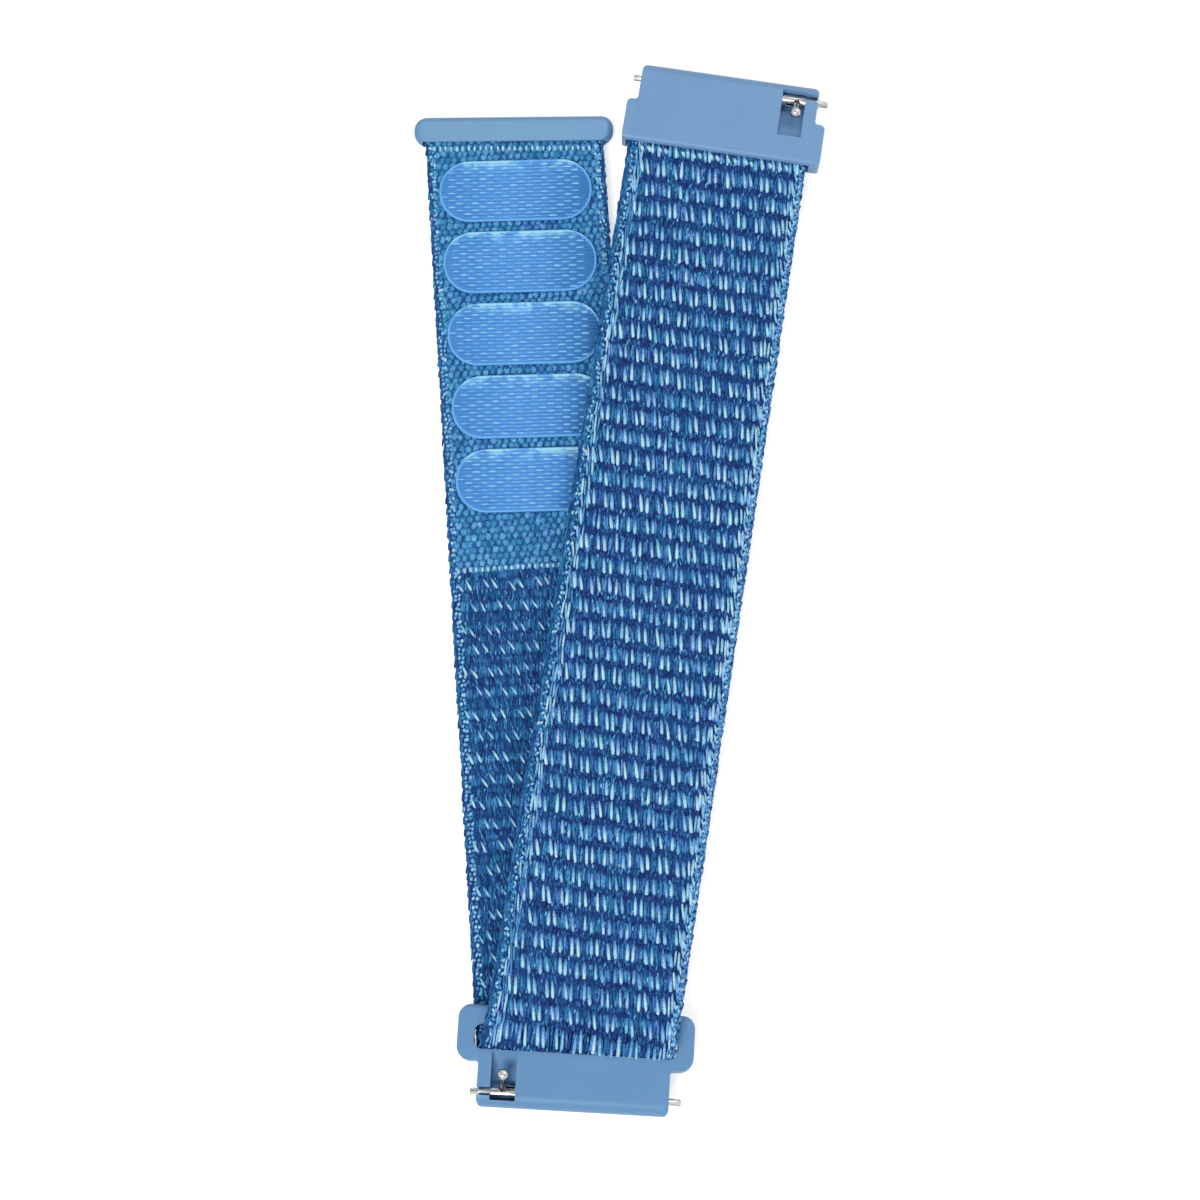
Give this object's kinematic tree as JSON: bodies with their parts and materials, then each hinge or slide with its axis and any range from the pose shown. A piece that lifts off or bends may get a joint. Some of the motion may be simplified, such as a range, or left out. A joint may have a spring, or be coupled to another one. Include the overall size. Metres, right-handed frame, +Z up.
{
  "type": "hook and loop watch strap",
  "caption": "Woven hook and loop watch strap folded through a slotted connector, with hook pads and an end cap on its tail and a sprung quick-release bar in the connector at each lug end.",
  "frame": {"origin": "on the floor under the slotted connector, below the axis of its spring bar at mid-width", "axes": "+X along the slotted connector's spring bar, +Y from the lug end towards the band, +Z up, away from the surface that the strap lies on"},
  "size_m": [0.0502, 0.1255, 0.0067],
  "materials": {
    "woven_band": "woven nylon, matt with bright yarn floats",
    "hook_pads": "moulded hooks, semi-matt",
    "connector_plastic": "satin moulded",
    "polished_steel": "polished"
  },
  "bodies": {
    "slot_end": {"slot_connector": "connector_plastic"},
    "slot_bar": {"slot_bar_barrel": "polished_steel", "slot_bar_fixed_tip": "polished_steel", "slot_bar_spring": "polished_steel"},
    "slot_release": {"slot_bar_sliding_tip": "polished_steel", "slot_bar_knob": "polished_steel"},
    "fold": {"band_turn": "woven_band"},
    "run_1": {"run_segment_1": "woven_band"},
    "run_2": {"run_segment_2": "woven_band"},
    "run_3": {"run_segment_3": "woven_band"},
    "run_4": {"run_segment_4": "woven_band"},
    "run_5": {"run_segment_5": "woven_band"},
    "fixed_end": {"run_segment_6": "woven_band", "fixed_connector": "connector_plastic"},
    "fixed_bar": {"fixed_bar_barrel": "polished_steel", "fixed_bar_fixed_tip": "polished_steel", "fixed_bar_spring": "polished_steel"},
    "fixed_release": {"fixed_bar_sliding_tip": "polished_steel", "fixed_bar_knob": "polished_steel"},
    "tail_1": {"tail_segment_1": "woven_band"},
    "tail_2": {"tail_segment_2": "woven_band"},
    "tail_3": {"tail_segment_3": "woven_band"},
    "tail_4": {"tail_segment_4": "woven_band", "hook_pad_5": "hook_pads", "hook_pad_4": "hook_pads"},
    "tail_5": {"tail_segment_5": "woven_band", "hook_pad_3": "hook_pads", "hook_pad_2": "hook_pads"},
    "tail_6": {"tail_segment_6": "woven_band", "hook_pad_1": "hook_pads", "end_cap": "connector_plastic"}
  },
  "joints": [
    {"name": "slot_bar_roll", "type": "hinge", "parent": "slot_end", "child": "slot_bar", "pos_m": [0, 0, 0.00162], "axis": [1, 0, 0], "range_deg": [0, 20]},
    {"name": "slot_release_slide", "type": "slide", "parent": "slot_bar", "child": "slot_release", "axis": [1, 0, 0], "range_m": [0, 0.00085], "stiffness_N_per_m": 600, "springref_m": -0.001, "deforming": ["slot_bar_spring"]},
    {"name": "fold_swivel", "type": "hinge", "parent": "slot_end", "child": "fold", "pos_m": [0, 0.00852, 0.00265], "axis": [1, 0, 0], "range_deg": [0, 15]},
    {"name": "run_lift", "type": "hinge", "parent": "fold", "child": "run_1", "pos_m": [0.00102, 0.01151, 0.00495], "axis": [-0.9954, 0.0962, 0], "range_deg": [-90, 0]},
    {"name": "wrist_curl", "type": "hinge", "parent": "run_1", "child": "run_2", "pos_m": [0.00266, 0.02851, 0.00495], "axis": [0.9954, -0.0962, 0], "range_deg": [0, 42]},
    {"name": "run_curl_2", "type": "hinge", "parent": "run_2", "child": "run_3", "pos_m": [0.00459, 0.0485, 0.00495], "axis": [0.9954, -0.0962, 0], "range_deg": [0, 42]},
    {"name": "run_curl_3", "type": "hinge", "parent": "run_3", "child": "run_4", "pos_m": [0.00653, 0.0685, 0.00495], "axis": [0.9954, -0.0962, 0], "range_deg": [0, 42]},
    {"name": "run_curl_4", "type": "hinge", "parent": "run_4", "child": "run_5", "pos_m": [0.00846, 0.08848, 0.00495], "axis": [0.9954, -0.0962, 0], "range_deg": [0, 42]},
    {"name": "fixed_connector_flex", "type": "hinge", "parent": "run_5", "child": "fixed_end", "pos_m": [0.01036, 0.10816, 0.00495], "axis": [0.9954, -0.0962, 0], "range_deg": [0, 25.2]},
    {"name": "fixed_bar_roll", "type": "hinge", "parent": "fixed_end", "child": "fixed_bar", "pos_m": [0.01239, 0.12102, 0.00425], "axis": [-0.9954, 0.0962, 0], "range_deg": [0, 20]},
    {"name": "fixed_release_slide", "type": "slide", "parent": "fixed_bar", "child": "fixed_release", "axis": [-0.9954, 0.0962, 0], "range_m": [0, 0.00085], "stiffness_N_per_m": 600, "springref_m": -0.001, "deforming": ["fixed_bar_spring"]},
    {"name": "tail_fan", "type": "hinge", "parent": "fold", "child": "tail_1", "pos_m": [-0.0011, 0.0115, 0.0023], "axis": [0, 0, 1], "range_deg": [-12.61, 0]},
    {"name": "tail_curl_1", "type": "hinge", "parent": "tail_1", "child": "tail_2", "pos_m": [-0.00368, 0.03224, 0.0023], "axis": [0.9924, 0.1234, 0], "range_deg": [0, 33.6]},
    {"name": "tail_curl_2", "type": "hinge", "parent": "tail_2", "child": "tail_3", "pos_m": [-0.00591, 0.05015, 0.0023], "axis": [0.9924, 0.1234, 0], "range_deg": [0, 33.6]},
    {"name": "tail_curl_3", "type": "hinge", "parent": "tail_3", "child": "tail_4", "pos_m": [-0.00801, 0.06703, 0.0023], "axis": [0.9924, 0.1234, 0], "range_deg": [0, 33.6]},
    {"name": "tail_curl_4", "type": "hinge", "parent": "tail_4", "child": "tail_5", "pos_m": [-0.01026, 0.08514, 0.0023], "axis": [0.9924, 0.1234, 0], "range_deg": [0, 33.6]},
    {"name": "tail_curl_5", "type": "hinge", "parent": "tail_5", "child": "tail_6", "pos_m": [-0.01251, 0.10323, 0.0023], "axis": [0.9924, 0.1234, 0], "range_deg": [0, 33.6]}
  ],
  "couplings": [
    {"joint": "run_curl_2", "follows": "wrist_curl", "ratio": 1},
    {"joint": "run_curl_3", "follows": "wrist_curl", "ratio": 1},
    {"joint": "run_curl_4", "follows": "wrist_curl", "ratio": 1},
    {"joint": "fixed_connector_flex", "follows": "wrist_curl", "ratio": 0.6},
    {"joint": "tail_curl_1", "follows": "wrist_curl", "ratio": 0.8},
    {"joint": "tail_curl_2", "follows": "wrist_curl", "ratio": 0.8},
    {"joint": "tail_curl_3", "follows": "wrist_curl", "ratio": 0.8},
    {"joint": "tail_curl_4", "follows": "wrist_curl", "ratio": 0.8},
    {"joint": "tail_curl_5", "follows": "wrist_curl", "ratio": 0.8}
  ]
}
